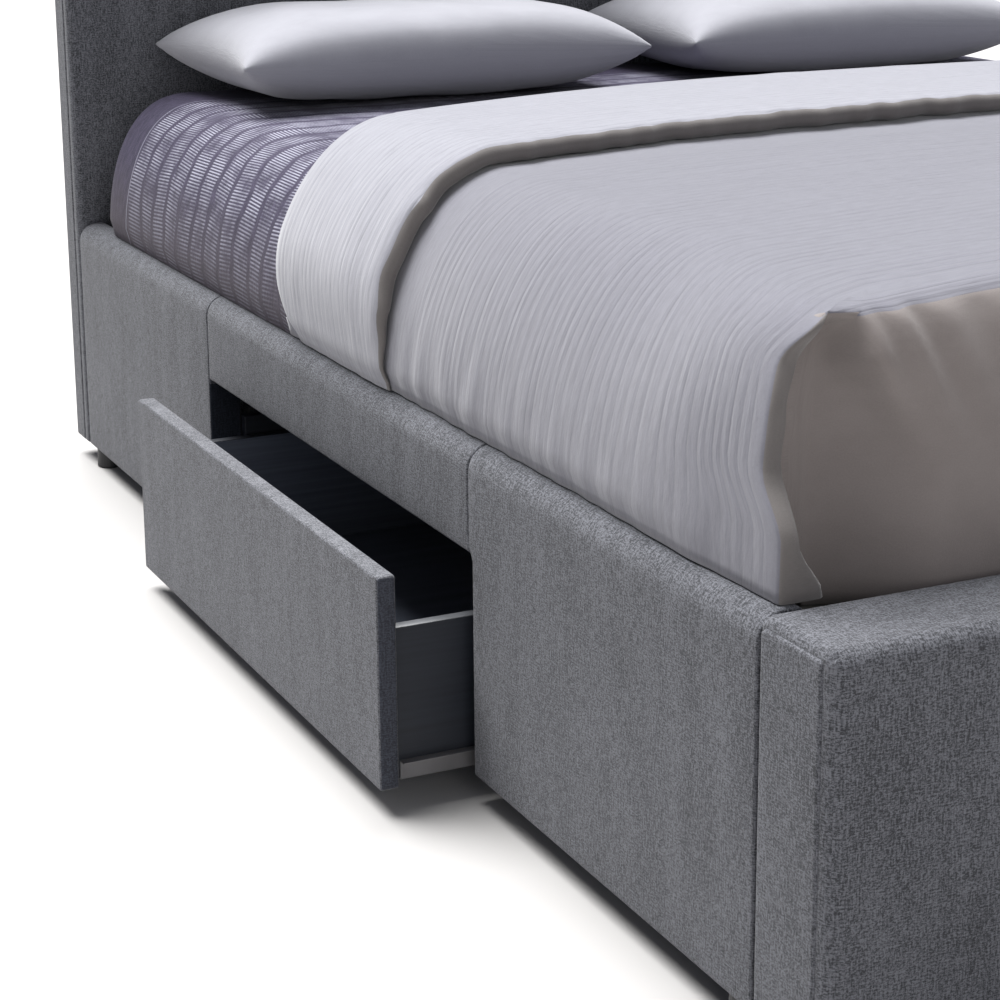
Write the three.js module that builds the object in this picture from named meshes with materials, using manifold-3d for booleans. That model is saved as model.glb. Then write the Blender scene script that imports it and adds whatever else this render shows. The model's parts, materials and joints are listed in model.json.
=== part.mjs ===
// Upholstered queen-size platform bed with a storage drawer in each side rail.
// Millimetres. X runs across the bed, +Y to the headboard, +Z up, and the origin is on the floor
// under the centre leg. The drawer on the -X side stands partly open.
import * as THREE from 'three';
import { mergeVertices } from 'three/addons/utils/BufferGeometryUtils.js';
import Module from 'manifold-3d';

const wasm = await Module();
wasm.setup();

// Clearance between pieces that touch.
const gap = 0.3;

// Side rails.
const railOuter = 830;
const railThickness = 45;
const railInner = railOuter - railThickness;
const railEnd = 1035;
const railTop = 397;
const railBottom = 31;
const edgeRadius = 14;

// Drawer bay between the cross panels, a little nearer the foot, and its opening in each rail.
const bayCentre = -36;
const openingHalfWidth = 431;
const openingTop = 280;

// Headboard and footboard.
const boardHalfWidth = 831;
const headboard = { inner: 1035, outer: 1115, top: 1150, padding: 18, windows: 4 };
const footboard = { inner: -1035, outer: -1148, top: 397, padding: 26, windows: 4 };

// Support under the mattress.
const slatCount = 13;
const slatWidth = 70;
const slatThickness = 18;
const slatHalfLength = 780;
const slatSpan = 2000;
const slatBottom = 281.3;
const slatTop = slatBottom + slatThickness;
const tapeOffset = 350;
const tapeWidth = 30;
const ledgeWidth = 34.7;
const ledgeHeight = 35;
const ledgeTop = slatBottom - gap;
const beamHalfWidth = 30;
const panelTop = 225;
const panelInner = 418;
const panelThickness = 18;
const legWidth = 50;
const glideRadius = 20;
const glidePlace = { x: 808, y: 1000 };

// Drawers.
const frontHalfWidth = 422;
const frontBottom = 28;
const frontTop = 268;
const frontThickness = 23;
const frontPadding = 8;
const boxHalfWidth = 404;
const boxDepth = 560;
const boxBottom = 32;
const boxTop = 202;
const boardThickness = 15;
const baseBottom = 38;
const baseThickness = 6;
const drawerBack = railOuter - frontThickness - gap - boxDepth;

// Roller runners: a channel on the panel, an angle on the drawer, and a roller on each.
const sheet = 1.2;
const channelWeb = panelInner - gap - sheet;
const channelFlangeEdge = 406.8;
const channelBottom = 31.8;
const channelTop = 57.2;
const channelBack = 284;
const channelFront = 784;
const angleWeb = boxHalfWidth + gap;
const angleFlangeEdge = 415.9;
const angleBottom = 31;
const angleTop = 53;
const angleBack = 295;
const angleFlangeBack = 325;
const angleFront = 800;
const axleRadius = 3;
const rollerWidth = 8;
const frontRoller = { radius: 9, x: 770, y: 411.6, z: 42.3 };
const rearRoller = { radius: 11.2, x: 310, y: 410.6, z: 44.5 };

// Bedding.
const mattress = { x: 762, foot: -990, head: 1024, bottom: slatTop + gap, top: 590, corner: 70 };
const duvetHead = 155;
const coverletHead = 990;
const pillow = { length: 700, width: 450, height: 165, x: 370, y: 785, bottom: 604 };

const sides = [
  { name: 'left', sign: -1, open: 105 },
  { name: 'right', sign: 1, open: 0 },
];
const ends = [
  { name: 'foot', sign: -1 },
  { name: 'head', sign: 1 },
];

const materials = {
  upholstery: finish(0x77797f, 0.9, 0),
  wood: finish(0xb89b74, 0.7, 0),
  laminate: finish(0x23262f, 0.45, 0),
  steel: finish(0xb9bbbe, 0.35, 0.9),
  roller: finish(0xe6e6e2, 0.4, 0),
  glide: finish(0x1b1b1d, 0.6, 0),
  mattress: finish(0xe9e7e1, 0.9, 0),
  duvet: finish(0xc3c2cc, 0.9, 0),
  coverlet: finish(0x6e697d, 0.9, 0),
  pillow: finish(0xd9d8de, 0.9, 0),
};

function finish(color, roughness, metalness) {
  return new THREE.MeshStandardMaterial({ color, roughness, metalness });
}

// Closed three.js geometry to a solid that can be joined and cut.
function solidOf(geometry) {
  const bare = geometry.clone();
  bare.deleteAttribute('normal');
  bare.deleteAttribute('uv');
  const merged = mergeVertices(bare, 1e-4);
  const vertProperties = new Float32Array(merged.attributes.position.array);
  const triVerts = new Uint32Array(merged.index.array);
  return new wasm.Manifold(new wasm.Mesh({ numProp: 3, vertProperties, triVerts }));
}

function geometryOf(solid) {
  const mesh = solid.getMesh();
  const geometry = new THREE.BufferGeometry();
  geometry.setAttribute('position', new THREE.BufferAttribute(mesh.vertProperties, 3));
  geometry.setIndex(new THREE.BufferAttribute(mesh.triVerts, 1));
  geometry.computeVertexNormals();
  return geometry;
}

function joined(...geometries) {
  return geometryOf(geometries.map(solidOf).reduce((all, one) => all.add(one)));
}

function cut(geometry, ...tools) {
  return geometryOf(tools.map(solidOf).reduce((all, one) => all.subtract(one), solidOf(geometry)));
}

function common(first, second) {
  return geometryOf(solidOf(first).intersect(solidOf(second)));
}

// Box between two values on each axis, given in either order.
function box([x0, x1], [y0, y1], [z0, z1]) {
  const geometry = new THREE.BoxGeometry(Math.abs(x1 - x0), Math.abs(y1 - y0), Math.abs(z1 - z0));
  return geometry.translate((x0 + x1) / 2, (y0 + y1) / 2, (z0 + z1) / 2);
}

function across(range, sign) {
  return range.map((value) => value * sign);
}

// Rectangle with each corner's own radius, in the order (x0,y0), (x1,y0), (x1,y1), (x0,y1).
function outline([x0, x1], [y0, y1], [r0, r1, r2, r3]) {
  const shape = new THREE.Shape();
  shape.moveTo(x0 + r0, y0);
  shape.lineTo(x1 - r1, y0);
  if (r1) shape.absarc(x1 - r1, y0 + r1, r1, -Math.PI / 2, 0);
  shape.lineTo(x1, y1 - r2);
  if (r2) shape.absarc(x1 - r2, y1 - r2, r2, 0, Math.PI / 2);
  shape.lineTo(x0 + r3, y1);
  if (r3) shape.absarc(x0 + r3, y1 - r3, r3, Math.PI / 2, Math.PI);
  shape.lineTo(x0, y0 + r0);
  if (r0) shape.absarc(x0 + r0, y0 + r0, r0, Math.PI, Math.PI * 1.5);
  return shape;
}

function extruded(shape, depth, steps = 4) {
  return new THREE.ExtrudeGeometry(shape, { depth, bevelEnabled: false, curveSegments: steps });
}

// Outline in XZ, pushed along Y from y0 to y1.
function alongY(shape, [y0, y1], steps) {
  const turn = new THREE.Matrix4().makeBasis(
    new THREE.Vector3(1, 0, 0),
    new THREE.Vector3(0, 0, 1),
    new THREE.Vector3(0, -1, 0),
  );
  return extruded(shape, y1 - y0, steps).applyMatrix4(turn).translate(0, y1, 0);
}

// Outline in YZ, pushed along X from x0 to x1.
function alongX(shape, [x0, x1], steps) {
  const turn = new THREE.Matrix4().makeBasis(
    new THREE.Vector3(0, 1, 0),
    new THREE.Vector3(0, 0, 1),
    new THREE.Vector3(1, 0, 0),
  );
  return extruded(shape, x1 - x0, steps).applyMatrix4(turn).translate(x0, 0, 0);
}

// Outline in XY, pushed along Z from z0 to z1.
function alongZ(shape, [z0, z1], steps) {
  return extruded(shape, z1 - z0, steps).translate(0, 0, z0);
}

function rod(radius, [y0, y1], x, z) {
  const geometry = new THREE.CylinderGeometry(radius, radius, Math.abs(y1 - y0), 16);
  return geometry.translate(x, (y0 + y1) / 2, z);
}

function place(parent, name, geometry, material) {
  const mesh = new THREE.Mesh(geometry, material);
  mesh.name = name;
  parent.add(mesh);
  return mesh;
}

// Headboard or footboard: a wooden frame with windows, under a padded cover open at the bottom.
function endBoard(parent, name, board) {
  const direction = Math.sign(board.outer);
  const range = [board.inner, board.outer].sort((a, b) => a - b);
  const profile = outline(range, [railBottom, board.top], [0, 0, edgeRadius, edgeRadius]);
  const plan = outline([-boardHalfWidth, boardHalfWidth], range, Array(4).fill(edgeRadius));
  const envelope = common(
    alongX(profile, [-boardHalfWidth, boardHalfWidth]),
    alongZ(plan, [railBottom, board.top]),
  );
  const core = {
    x: boardHalfWidth - board.padding,
    y: [board.inner + direction * board.padding, board.outer - direction * board.padding],
    top: board.top - board.padding,
  };
  const hollow = box(
    [-core.x - gap, core.x + gap],
    [core.y[0] - direction * gap, core.y[1] + direction * gap],
    [0, core.top + gap],
  );
  place(parent, `${name}_cover`, cut(envelope, hollow), materials.upholstery);

  const post = 60;
  const windowWidth = (2 * core.x - post * (board.windows + 1)) / board.windows;
  const windows = [];
  for (let index = 0; index < board.windows; index += 1) {
    const start = -core.x + post + index * (windowWidth + post);
    windows.push(box([start, start + windowWidth], [board.inner, board.outer], [110, core.top - post]));
  }
  const block = box([-core.x, core.x], core.y, [railBottom, core.top]);
  place(parent, `${name}_frame`, cut(block, ...windows), materials.wood);
}

// Side rail: a board cut out over the drawer, inside three padded sections.
function sideRail(parent, side) {
  const boardX = across([railInner + 14, railInner + 32], side.sign);
  const wideBoardX = across([railInner + 14 - gap, railInner + 32 + gap], side.sign);
  const margin = 12;
  const boardEnd = railEnd - margin;
  const jambs = [bayCentre - openingHalfWidth - margin, bayCentre + openingHalfWidth + margin];
  const lintel = openingTop + margin;
  const boardZ = [railBottom + margin, railTop - 15];
  const far = boardEnd + gap;
  const board = box(boardX, [-boardEnd, boardEnd], boardZ);
  const doorway = box(across([railInner, railOuter], side.sign), jambs, [0, lintel]);
  place(parent, `${side.name}_rail_frame`, cut(board, doorway), materials.wood);

  const dilated = [
    box(wideBoardX, [-far, far], [lintel - gap, boardZ[1] + gap]),
    box(wideBoardX, [-far, jambs[0] + gap], [boardZ[0] - gap, lintel]),
    box(wideBoardX, [jambs[1] - gap, far], [boardZ[0] - gap, lintel]),
  ];
  const x = across([railInner, railOuter], side.sign).sort((a, b) => a - b);
  const seams = [bayCentre - openingHalfWidth, bayCentre + openingHalfWidth];
  const sections = [
    { name: 'foot', y: [-railEnd + gap, seams[0]], bottom: railBottom },
    { name: 'bridge', y: [seams[0] + gap, seams[1] - gap], bottom: openingTop },
    { name: 'head', y: [seams[1], railEnd - gap], bottom: railBottom },
  ];
  for (const section of sections) {
    const profile = outline(x, [section.bottom, railTop], [4, 4, edgeRadius, edgeRadius]);
    const pad = cut(alongY(profile, section.y), ...dilated);
    place(parent, `${side.name}_rail_pad_${section.name}`, pad, materials.upholstery);
  }
}

// Ledges, centre beam, leg and slats that carry the mattress.
function mattressSupport(parent) {
  const length = [-railEnd + gap, railEnd - gap];
  for (const side of sides) {
    const x = across([railInner - gap - ledgeWidth, railInner - gap], side.sign);
    const ledge = box(x, length, [ledgeTop - ledgeHeight, ledgeTop]);
    place(parent, `${side.name}_ledge`, ledge, materials.wood);
  }
  const beam = box([-beamHalfWidth, beamHalfWidth], length, [panelTop + gap, ledgeTop]);
  place(parent, 'centre_beam', beam, materials.wood);
  const half = legWidth / 2;
  const legOutline = outline([-half, half], [-half, half], [5, 5, 5, 5]);
  place(parent, 'centre_leg', alongZ(legOutline, [0, panelTop], 2), materials.wood);
  place(parent, 'slat_roll', slatRoll(), materials.wood);
}

// Slats joined by two webbing tapes under them.
function slatRoll() {
  const pitch = (slatSpan - slatWidth) / (slatCount - 1);
  const pieces = [];
  for (let index = 0; index < slatCount; index += 1) {
    const start = -slatSpan / 2 + index * pitch;
    const z = [slatBottom, slatTop];
    pieces.push(box([-slatHalfLength, slatHalfLength], [start, start + slatWidth], z));
  }
  for (const side of sides) {
    const x = across([tapeOffset - tapeWidth / 2, tapeOffset + tapeWidth / 2], side.sign);
    pieces.push(box(x, [-slatSpan / 2, slatSpan / 2], [slatBottom - 1.5, slatBottom + 0.5]));
  }
  return joined(...pieces);
}

// Steel angle in each inner corner, and a glide under each end of the rails.
function cornerFittings(parent) {
  const leg = 40;
  const thickness = 3;
  const z = [100, 230];
  for (const side of sides) {
    for (const end of ends) {
      const wall = railInner - gap;
      const stop = railEnd - gap;
      const onRail = box(
        across([wall - thickness, wall], side.sign),
        across([stop - leg, stop], end.sign),
        z,
      );
      const onBoard = box(
        across([wall - leg, wall], side.sign),
        across([stop - thickness, stop], end.sign),
        z,
      );
      const bracket = joined(onRail, onBoard);
      place(parent, `${side.name}_${end.name}_bracket`, bracket, materials.steel);
      place(parent, `${side.name}_${end.name}_glide`, glide(side.sign, end.sign), materials.glide);
    }
  }
}

function glide(signX, signY) {
  const height = railBottom - gap;
  const points = [
    new THREE.Vector2(0, 0),
    new THREE.Vector2(glideRadius - 2, 0),
    new THREE.Vector2(glideRadius, 2),
    new THREE.Vector2(glideRadius - 1, height),
    new THREE.Vector2(0, height),
  ];
  const upright = new THREE.LatheGeometry(points, 24).rotateX(Math.PI / 2);
  return upright.translate(signX * glidePlace.x, signY * glidePlace.y, 0);
}

// Channel on a cross panel, with the stub axle of the front roller.
function cabinetRunner(side, end) {
  const x = across([channelBack, channelFront], side.sign);
  const web = box(x, across([channelWeb, channelWeb + sheet], end.sign), [channelBottom, channelTop]);
  const flangeY = across([channelFlangeEdge, channelWeb + sheet / 2], end.sign);
  const lower = box(x, flangeY, [channelBottom, channelBottom + sheet]);
  const upper = box(x, flangeY, [channelTop - sheet, channelTop]);
  const axleY = across([frontRoller.y - rollerWidth / 2 - 0.4, channelWeb + sheet / 2], end.sign);
  const axle = rod(axleRadius, axleY, side.sign * frontRoller.x, frontRoller.z);
  return joined(web, lower, upper, axle);
}

// Angle on the drawer's side, with the stub axle of the rear roller.
function drawerRunner(side, end) {
  const webY = across([angleWeb, angleWeb + sheet], end.sign);
  const web = box(across([angleBack, angleFront], side.sign), webY, [angleBottom, angleTop]);
  const flange = box(
    across([angleFlangeBack, angleFront], side.sign),
    across([angleWeb + sheet / 2, angleFlangeEdge], end.sign),
    [angleTop - sheet, angleTop],
  );
  const axleY = across([angleWeb + sheet / 2, rearRoller.y + rollerWidth / 2 + 0.4], end.sign);
  const axle = rod(axleRadius, axleY, side.sign * rearRoller.x, rearRoller.z);
  return joined(web, flange, axle);
}

function roller(parent, name, spec, side, end) {
  const half = rollerWidth / 2;
  const bore = axleRadius + gap;
  const points = [
    new THREE.Vector2(bore, -half),
    new THREE.Vector2(spec.radius - 1, -half),
    new THREE.Vector2(spec.radius, -half + 1),
    new THREE.Vector2(spec.radius, half - 1),
    new THREE.Vector2(spec.radius - 1, half),
    new THREE.Vector2(bore, half),
    new THREE.Vector2(bore, -half),
  ];
  const mesh = place(parent, name, new THREE.LatheGeometry(points, 24), materials.roller);
  mesh.position.set(side.sign * spec.x, end.sign * spec.y, spec.z);
}

// Padded drawer front: a board inside a cover that wraps its edges.
function drawerFront(parent, side) {
  const back = railOuter - frontThickness;
  const boardX = [back, railOuter - frontPadding];
  const inset = 6;
  const boardY = [-frontHalfWidth + inset, frontHalfWidth - inset];
  const boardZ = [frontBottom + inset, frontTop - inset];
  place(parent, `${side.name}_front_board`, box(across(boardX, side.sign), boardY, boardZ), materials.wood);

  const coverX = across([back + 1, railOuter], side.sign).sort((a, b) => a - b);
  const shape = outline([-frontHalfWidth, frontHalfWidth], [frontBottom, frontTop], [14, 14, 8, 8]);
  const hollow = box(
    across([back - gap, boardX[1] + gap], side.sign),
    [boardY[0] - gap, boardY[1] + gap],
    [boardZ[0] - gap, boardZ[1] + gap],
  );
  place(parent, `${side.name}_front_cover`, cut(alongX(shape, coverX), hollow), materials.upholstery);
}

// Drawer box: two sides, a back between them and a thin base.
function drawerBox(parent, side) {
  const front = railOuter - frontThickness - gap;
  const inner = boxHalfWidth - boardThickness - gap;
  for (const end of ends) {
    const y = across([boxHalfWidth - boardThickness, boxHalfWidth], end.sign);
    const wall = box(across([drawerBack, front], side.sign), y, [boxBottom, boxTop]);
    place(parent, `${side.name}_drawer_side_${end.name}`, wall, materials.laminate);
  }
  const backX = across([drawerBack, drawerBack + boardThickness], side.sign);
  const back = box(backX, [-inner, inner], [baseBottom, boxTop]);
  place(parent, `${side.name}_drawer_back`, back, materials.laminate);
  const baseX = across([drawerBack + boardThickness + gap, front], side.sign);
  const base = box(baseX, [-inner, inner], [baseBottom, baseBottom + baseThickness]);
  place(parent, `${side.name}_drawer_base`, base, materials.laminate);
}

function crossPanel(parent, end) {
  const y = across([panelInner, panelInner + panelThickness], end.sign);
  const panel = box([-railInner + gap, railInner - gap], y, [0, panelTop]);
  place(parent, `cross_panel_${end.name}`, panel, materials.laminate);
}

// A whole drawer with its runners, and the fixed runners that carry it.
function drawerAndRunners(parent, side) {
  const drawer = new THREE.Group();
  drawer.position.x = side.sign * side.open;
  parent.add(drawer);
  drawerFront(drawer, side);
  drawerBox(drawer, side);
  for (const end of ends) {
    place(drawer, `${side.name}_drawer_runner_${end.name}`, drawerRunner(side, end), materials.steel);
    roller(drawer, `${side.name}_rear_roller_${end.name}`, rearRoller, side, end);
    place(parent, `${side.name}_cabinet_runner_${end.name}`, cabinetRunner(side, end), materials.steel);
    roller(parent, `${side.name}_front_roller_${end.name}`, frontRoller, side, end);
  }
}

// Half of a bedding cross-section on the +X side, from its hem up and over to the middle.
function beddingProfile(hem, points) {
  const shape = new THREE.Shape();
  shape.moveTo(points[0][0], hem);
  for (const [x, z] of points) shape.lineTo(x, z);
  for (const [x, z] of points.slice().reverse()) shape.lineTo(-x, z);
  shape.lineTo(-points[0][0], hem);
  return shape;
}

function bedding(parent) {
  const { x, foot, head, bottom, top, corner } = mattress;
  const roll = 20;
  const plan = outline([-x, x], [foot, head], Array(4).fill(corner));
  const body = new THREE.ExtrudeGeometry(plan, {
    depth: top - bottom - 2 * roll,
    bevelThickness: roll,
    bevelSize: roll,
    bevelOffset: -roll,
    bevelSegments: 3,
    curveSegments: 5,
  });
  place(parent, 'mattress', body.translate(0, 0, bottom + roll), materials.mattress);

  const overMattress = box([-x - gap, x + gap], [foot - gap, railEnd], [0, top + gap]);
  const duvetPoints = [[783, 402], [798, 450], [800, 520], [792, 585], [765, 628], [700, 646], [0, 660]];
  const duvet = alongY(beddingProfile(300, duvetPoints), [-railEnd + gap, duvetHead]);
  place(parent, 'duvet', cut(duvet, overMattress), materials.duvet);

  const coverletPoints = [[780, 402], [780, 570], [768, 592], [745, 602], [0, 603]];
  const coverlet = alongY(beddingProfile(320, coverletPoints), [duvetHead + gap, coverletHead]);
  place(parent, 'coverlet', cut(coverlet, overMattress), materials.coverlet);

  for (const side of sides) {
    place(parent, `${side.name}_pillow`, pillowSolid(side), materials.pillow);
  }
}

function pillowSolid(side) {
  const geometry = new THREE.SphereGeometry(1, 24, 12).rotateX(Math.PI / 2);
  const position = geometry.attributes.position;
  const power = 0.45;
  for (let index = 0; index < position.count; index += 1) {
    const point = new THREE.Vector3().fromBufferAttribute(position, index);
    const x = Math.sign(point.x) * Math.abs(point.x) ** power;
    const y = Math.sign(point.y) * Math.abs(point.y) ** power;
    position.setXYZ(index, x, y, point.z);
  }
  geometry.scale(pillow.length / 2, pillow.width / 2, pillow.height / 2);
  return geometry.translate(side.sign * pillow.x, pillow.y, pillow.bottom + pillow.height / 2);
}

const bed = new THREE.Group();
endBoard(bed, 'headboard', headboard);
endBoard(bed, 'footboard', footboard);
for (const side of sides) sideRail(bed, side);
mattressSupport(bed);
cornerFittings(bed);

const bay = new THREE.Group();
bay.position.y = bayCentre;
bed.add(bay);
for (const end of ends) crossPanel(bay, end);
for (const side of sides) drawerAndRunners(bay, side);

bedding(bed);

export default bed;
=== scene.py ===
"""Upholstered platform bed with two storage drawers, made up with duvet, coverlet and pillows."""
import json
import math

import bmesh
import bpy
from mathutils import Matrix, Vector, noise


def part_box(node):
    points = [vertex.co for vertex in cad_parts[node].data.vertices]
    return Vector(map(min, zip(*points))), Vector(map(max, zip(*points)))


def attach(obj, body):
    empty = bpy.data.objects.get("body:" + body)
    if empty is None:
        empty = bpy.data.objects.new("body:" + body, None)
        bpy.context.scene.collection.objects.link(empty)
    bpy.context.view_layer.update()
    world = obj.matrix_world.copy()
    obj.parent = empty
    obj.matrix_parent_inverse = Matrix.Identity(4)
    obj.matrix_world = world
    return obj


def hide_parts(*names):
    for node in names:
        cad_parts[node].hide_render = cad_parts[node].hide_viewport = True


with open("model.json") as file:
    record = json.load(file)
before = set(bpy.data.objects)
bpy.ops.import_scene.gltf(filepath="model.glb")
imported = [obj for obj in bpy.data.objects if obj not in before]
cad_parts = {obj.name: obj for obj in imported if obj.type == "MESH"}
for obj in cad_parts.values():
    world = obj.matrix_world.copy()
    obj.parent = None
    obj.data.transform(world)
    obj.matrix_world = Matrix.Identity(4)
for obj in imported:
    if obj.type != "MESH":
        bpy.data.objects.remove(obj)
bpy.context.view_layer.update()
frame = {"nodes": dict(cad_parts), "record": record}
NODES = frame["nodes"]

MM = 0.001
SIDES = (("left", -1), ("right", 1))

# Camera, in metres and degrees in the bed's frame.
CAMERA_PLACE = Vector((-1.7992, -2.5888, 1.0479))
CAMERA_YAW = 25.32
CAMERA_PITCH = 14.05
CAMERA_ROLL = -0.47
CAMERA_LENS = 83.88
CAMERA_SHIFT_Y = -0.115

# Upholstery.
SEAM_RADIUS = 3.5 * MM
TOP_RADIUS = 28 * MM
SEAM_SHIFT = 9 * MM
OPENING_TOP = 0.28
PAD_STEP = 16 * MM

# Bedding: the top's edge, where the sides start to fall, and the hems tucked inside the rails.
TOP_HALF_WIDTH = 0.655
SIDE_BULGE = 0.817
CORNER_BULGE = 0.808
TOP_HEIGHT = 0.662
EDGE_HEIGHT = 0.645
WIDEST_HEIGHT = 0.398
FOOT_ROLL = -0.93
FOOT_BULGE = -1.031
FOLD_Y = 0.13
FLAP_HEM_Y = -0.205
COVERLET_HEAD = 0.99
COVERLET_BORDER = 0.815
COVERLET_CORNER = 0.105
RIB_PITCH = 14 * MM

# Duvet's open foot corners: columns in each, how full it stays, the hollow's depth, how many levels
# of the skirt keep the cover's cloth, and the folds' place, lean and width in metres and depth in MM.
CORNER_COUNT = 12
CORNER_FULLNESS = 0.4
HOLLOW_DEPTH = 58 * MM
CORNER_RIM = 4
FOOT_RIM = 5
CORNER_FOLDS = (
    (0.006, 0.35, 0.007, 5),
    (0.023, 0.45, 0.008, -4),
    (0.042, 0.4, 0.008, 6),
    (0.062, 0.5, 0.009, -5),
    (0.09, 0.35, 0.012, 4),
    (0.13, 0.3, 0.015, -4),
)


# ---------------------------------------------------------------- materials


def new_material(name):
    material = bpy.data.materials.new(name)
    material.use_nodes = True
    tree = material.node_tree
    shader = tree.nodes["Principled BSDF"]
    return material, tree, shader


def add(tree, kind, values=None, **settings):
    """A node with its settings, and its inputs set or linked by name or number."""
    made = tree.nodes.new(kind)
    for key, value in settings.items():
        setattr(made, key, value)
    for key, value in (values or {}).items():
        if isinstance(value, bpy.types.NodeSocket):
            tree.links.new(value, made.inputs[key])
        else:
            made.inputs[key].default_value = value
    return made


def math_node(tree, operation, first, second=0.0, third=0.0, clamp=False):
    made = add(tree, "ShaderNodeMath", {0: first, 1: second, 2: third}, operation=operation)
    made.use_clamp = clamp
    return made.outputs[0]


def plus(tree, first, second):
    return math_node(tree, "ADD", first, second)


def minus(tree, first, second):
    return math_node(tree, "SUBTRACT", first, second)


def times(tree, first, second):
    return math_node(tree, "MULTIPLY", first, second)


def ramp(tree, value, low, high, to_low=0.0, to_high=1.0):
    """Clamped linear change from one range to another."""
    keys = {"Value": value, "From Min": low, "From Max": high, "To Min": to_low, "To Max": to_high}
    return add(tree, "ShaderNodeMapRange", keys).outputs[0]


def scaled(tree, vector, scale):
    made = add(tree, "ShaderNodeVectorMath", {0: vector, 1: scale}, operation="MULTIPLY")
    return made.outputs[0]


def noise_of(tree, vector, scale=1.0, detail=2.0, roughness=0.5):
    keys = {"Vector": vector, "Scale": scale, "Detail": detail, "Roughness": roughness}
    return add(tree, "ShaderNodeTexNoise", keys).outputs[0]


def mixed(tree, factor, first, second):
    keys = {"Factor": factor, "A": first, "B": second}
    made = add(tree, "ShaderNodeMix", data_type="RGBA")
    for socket in made.inputs:
        if socket.name == "Factor" and socket.type == "VALUE":
            link_or_set(tree, socket, keys["Factor"])
        if socket.name in "AB" and socket.type == "RGBA":
            link_or_set(tree, socket, keys[socket.name])
    return next(o for o in made.outputs if o.type == "RGBA")


def link_or_set(tree, socket, value):
    if isinstance(value, bpy.types.NodeSocket):
        tree.links.new(value, socket)
    else:
        socket.default_value = value


def bump(tree, shader, height, distance, strength=1.0):
    keys = {"Height": height, "Distance": distance, "Strength": strength}
    tree.links.new(add(tree, "ShaderNodeBump", keys).outputs[0], shader.inputs["Normal"])


def cloth_uv(tree):
    """Coordinates on the cloth, in metres."""
    return add(tree, "ShaderNodeUVMap", uv_map="cloth").outputs[0]


def linen(name="linen", dark=(0.031, 0.032, 0.0365, 1), light=(0.138, 0.141, 0.158, 1)):
    """Heathered grey upholstery linen: slubbed threads both ways, in slightly uneven tones."""
    material, tree, shader = new_material(name)
    uv = cloth_uv(tree)
    warp = noise_of(tree, scaled(tree, uv, (520, 80, 1)), detail=3, roughness=0.7)
    weft = noise_of(tree, scaled(tree, uv, (75, 680, 1)), detail=3, roughness=0.7)
    fleck = noise_of(tree, scaled(tree, uv, (360, 560, 1)), detail=3, roughness=0.85)
    streak = noise_of(tree, scaled(tree, uv, (34, 5, 1)), detail=3, roughness=0.65)
    cloud = noise_of(tree, scaled(tree, uv, (14, 9, 1)), detail=3, roughness=0.6)
    threads = plus(tree, times(tree, warp, 0.32), times(tree, weft, 0.22))
    both = plus(tree, threads, times(tree, fleck, 0.58))
    broad = plus(tree, times(tree, streak, 0.09), times(tree, cloud, 0.05))
    tone = plus(tree, both, broad)
    colour = mixed(tree, ramp(tree, tone, 0.578, 0.687), dark, light)
    tree.links.new(colour, shader.inputs["Base Color"])
    shader.inputs["Roughness"].default_value = 0.92
    shader.inputs["Specular IOR Level"].default_value = 0.25
    shader.inputs["Sheen Weight"].default_value = 0.11
    shader.inputs["Sheen Roughness"].default_value = 0.5
    bump(tree, shader, both, 0.7 * MM, 0.8)
    return material


def laminate(name, dark, light):
    """Dark blue-grey board with a faint, smudged satin face."""
    material, tree, shader = new_material(name)
    place = add(tree, "ShaderNodeTexCoord").outputs["Object"]
    grain = noise_of(tree, scaled(tree, place, (3, 40, 160)), detail=4, roughness=0.6)
    smudge = noise_of(tree, place, scale=7, detail=3)
    colour = mixed(tree, ramp(tree, grain, 0.3, 0.75), dark, light)
    tree.links.new(colour, shader.inputs["Base Color"])
    tree.links.new(ramp(tree, smudge, 0.3, 0.7, 0.42, 0.6), shader.inputs["Roughness"])
    bump(tree, shader, grain, 0.08 * MM, 0.5)
    return material


def wood(name, dark, light):
    """Planed wood with long grain along X or Y, slightly open pores."""
    material, tree, shader = new_material(name)
    place = add(tree, "ShaderNodeTexCoord").outputs["Object"]
    wander = noise_of(tree, scaled(tree, place, (2, 9, 9)), detail=3)
    bent = add(tree, "ShaderNodeVectorMath", {0: place, 1: wander}, operation="ADD").outputs[0]
    rings = noise_of(tree, scaled(tree, bent, (1.5, 30, 30)), detail=5, roughness=0.65)
    pores = noise_of(tree, scaled(tree, place, (30, 500, 500)), detail=2)
    mix = plus(tree, times(tree, rings, 0.8), times(tree, pores, 0.25))
    tree.links.new(mixed(tree, ramp(tree, mix, 0.35, 0.75), dark, light), shader.inputs["Base Color"])
    shader.inputs["Roughness"].default_value = 0.62
    bump(tree, shader, mix, 0.25 * MM, 0.6)
    return material


def metal(name, colour, roughness, metallic):
    """Rolled steel or its paint: fine lines along the length and a few dull patches."""
    material, tree, shader = new_material(name)
    place = add(tree, "ShaderNodeTexCoord").outputs["Object"]
    lines = noise_of(tree, scaled(tree, place, (8, 600, 600)), detail=2)
    patch = noise_of(tree, place, scale=14, detail=4)
    dull = tuple(0.72 * channel for channel in colour[:3]) + (1,)
    tree.links.new(mixed(tree, ramp(tree, patch, 0.35, 0.7), dull, colour), shader.inputs["Base Color"])
    tree.links.new(ramp(tree, patch, 0.3, 0.7, roughness, roughness + 0.14), shader.inputs["Roughness"])
    shader.inputs["Metallic"].default_value = metallic
    bump(tree, shader, lines, 0.05 * MM, 0.5)
    return material


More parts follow.
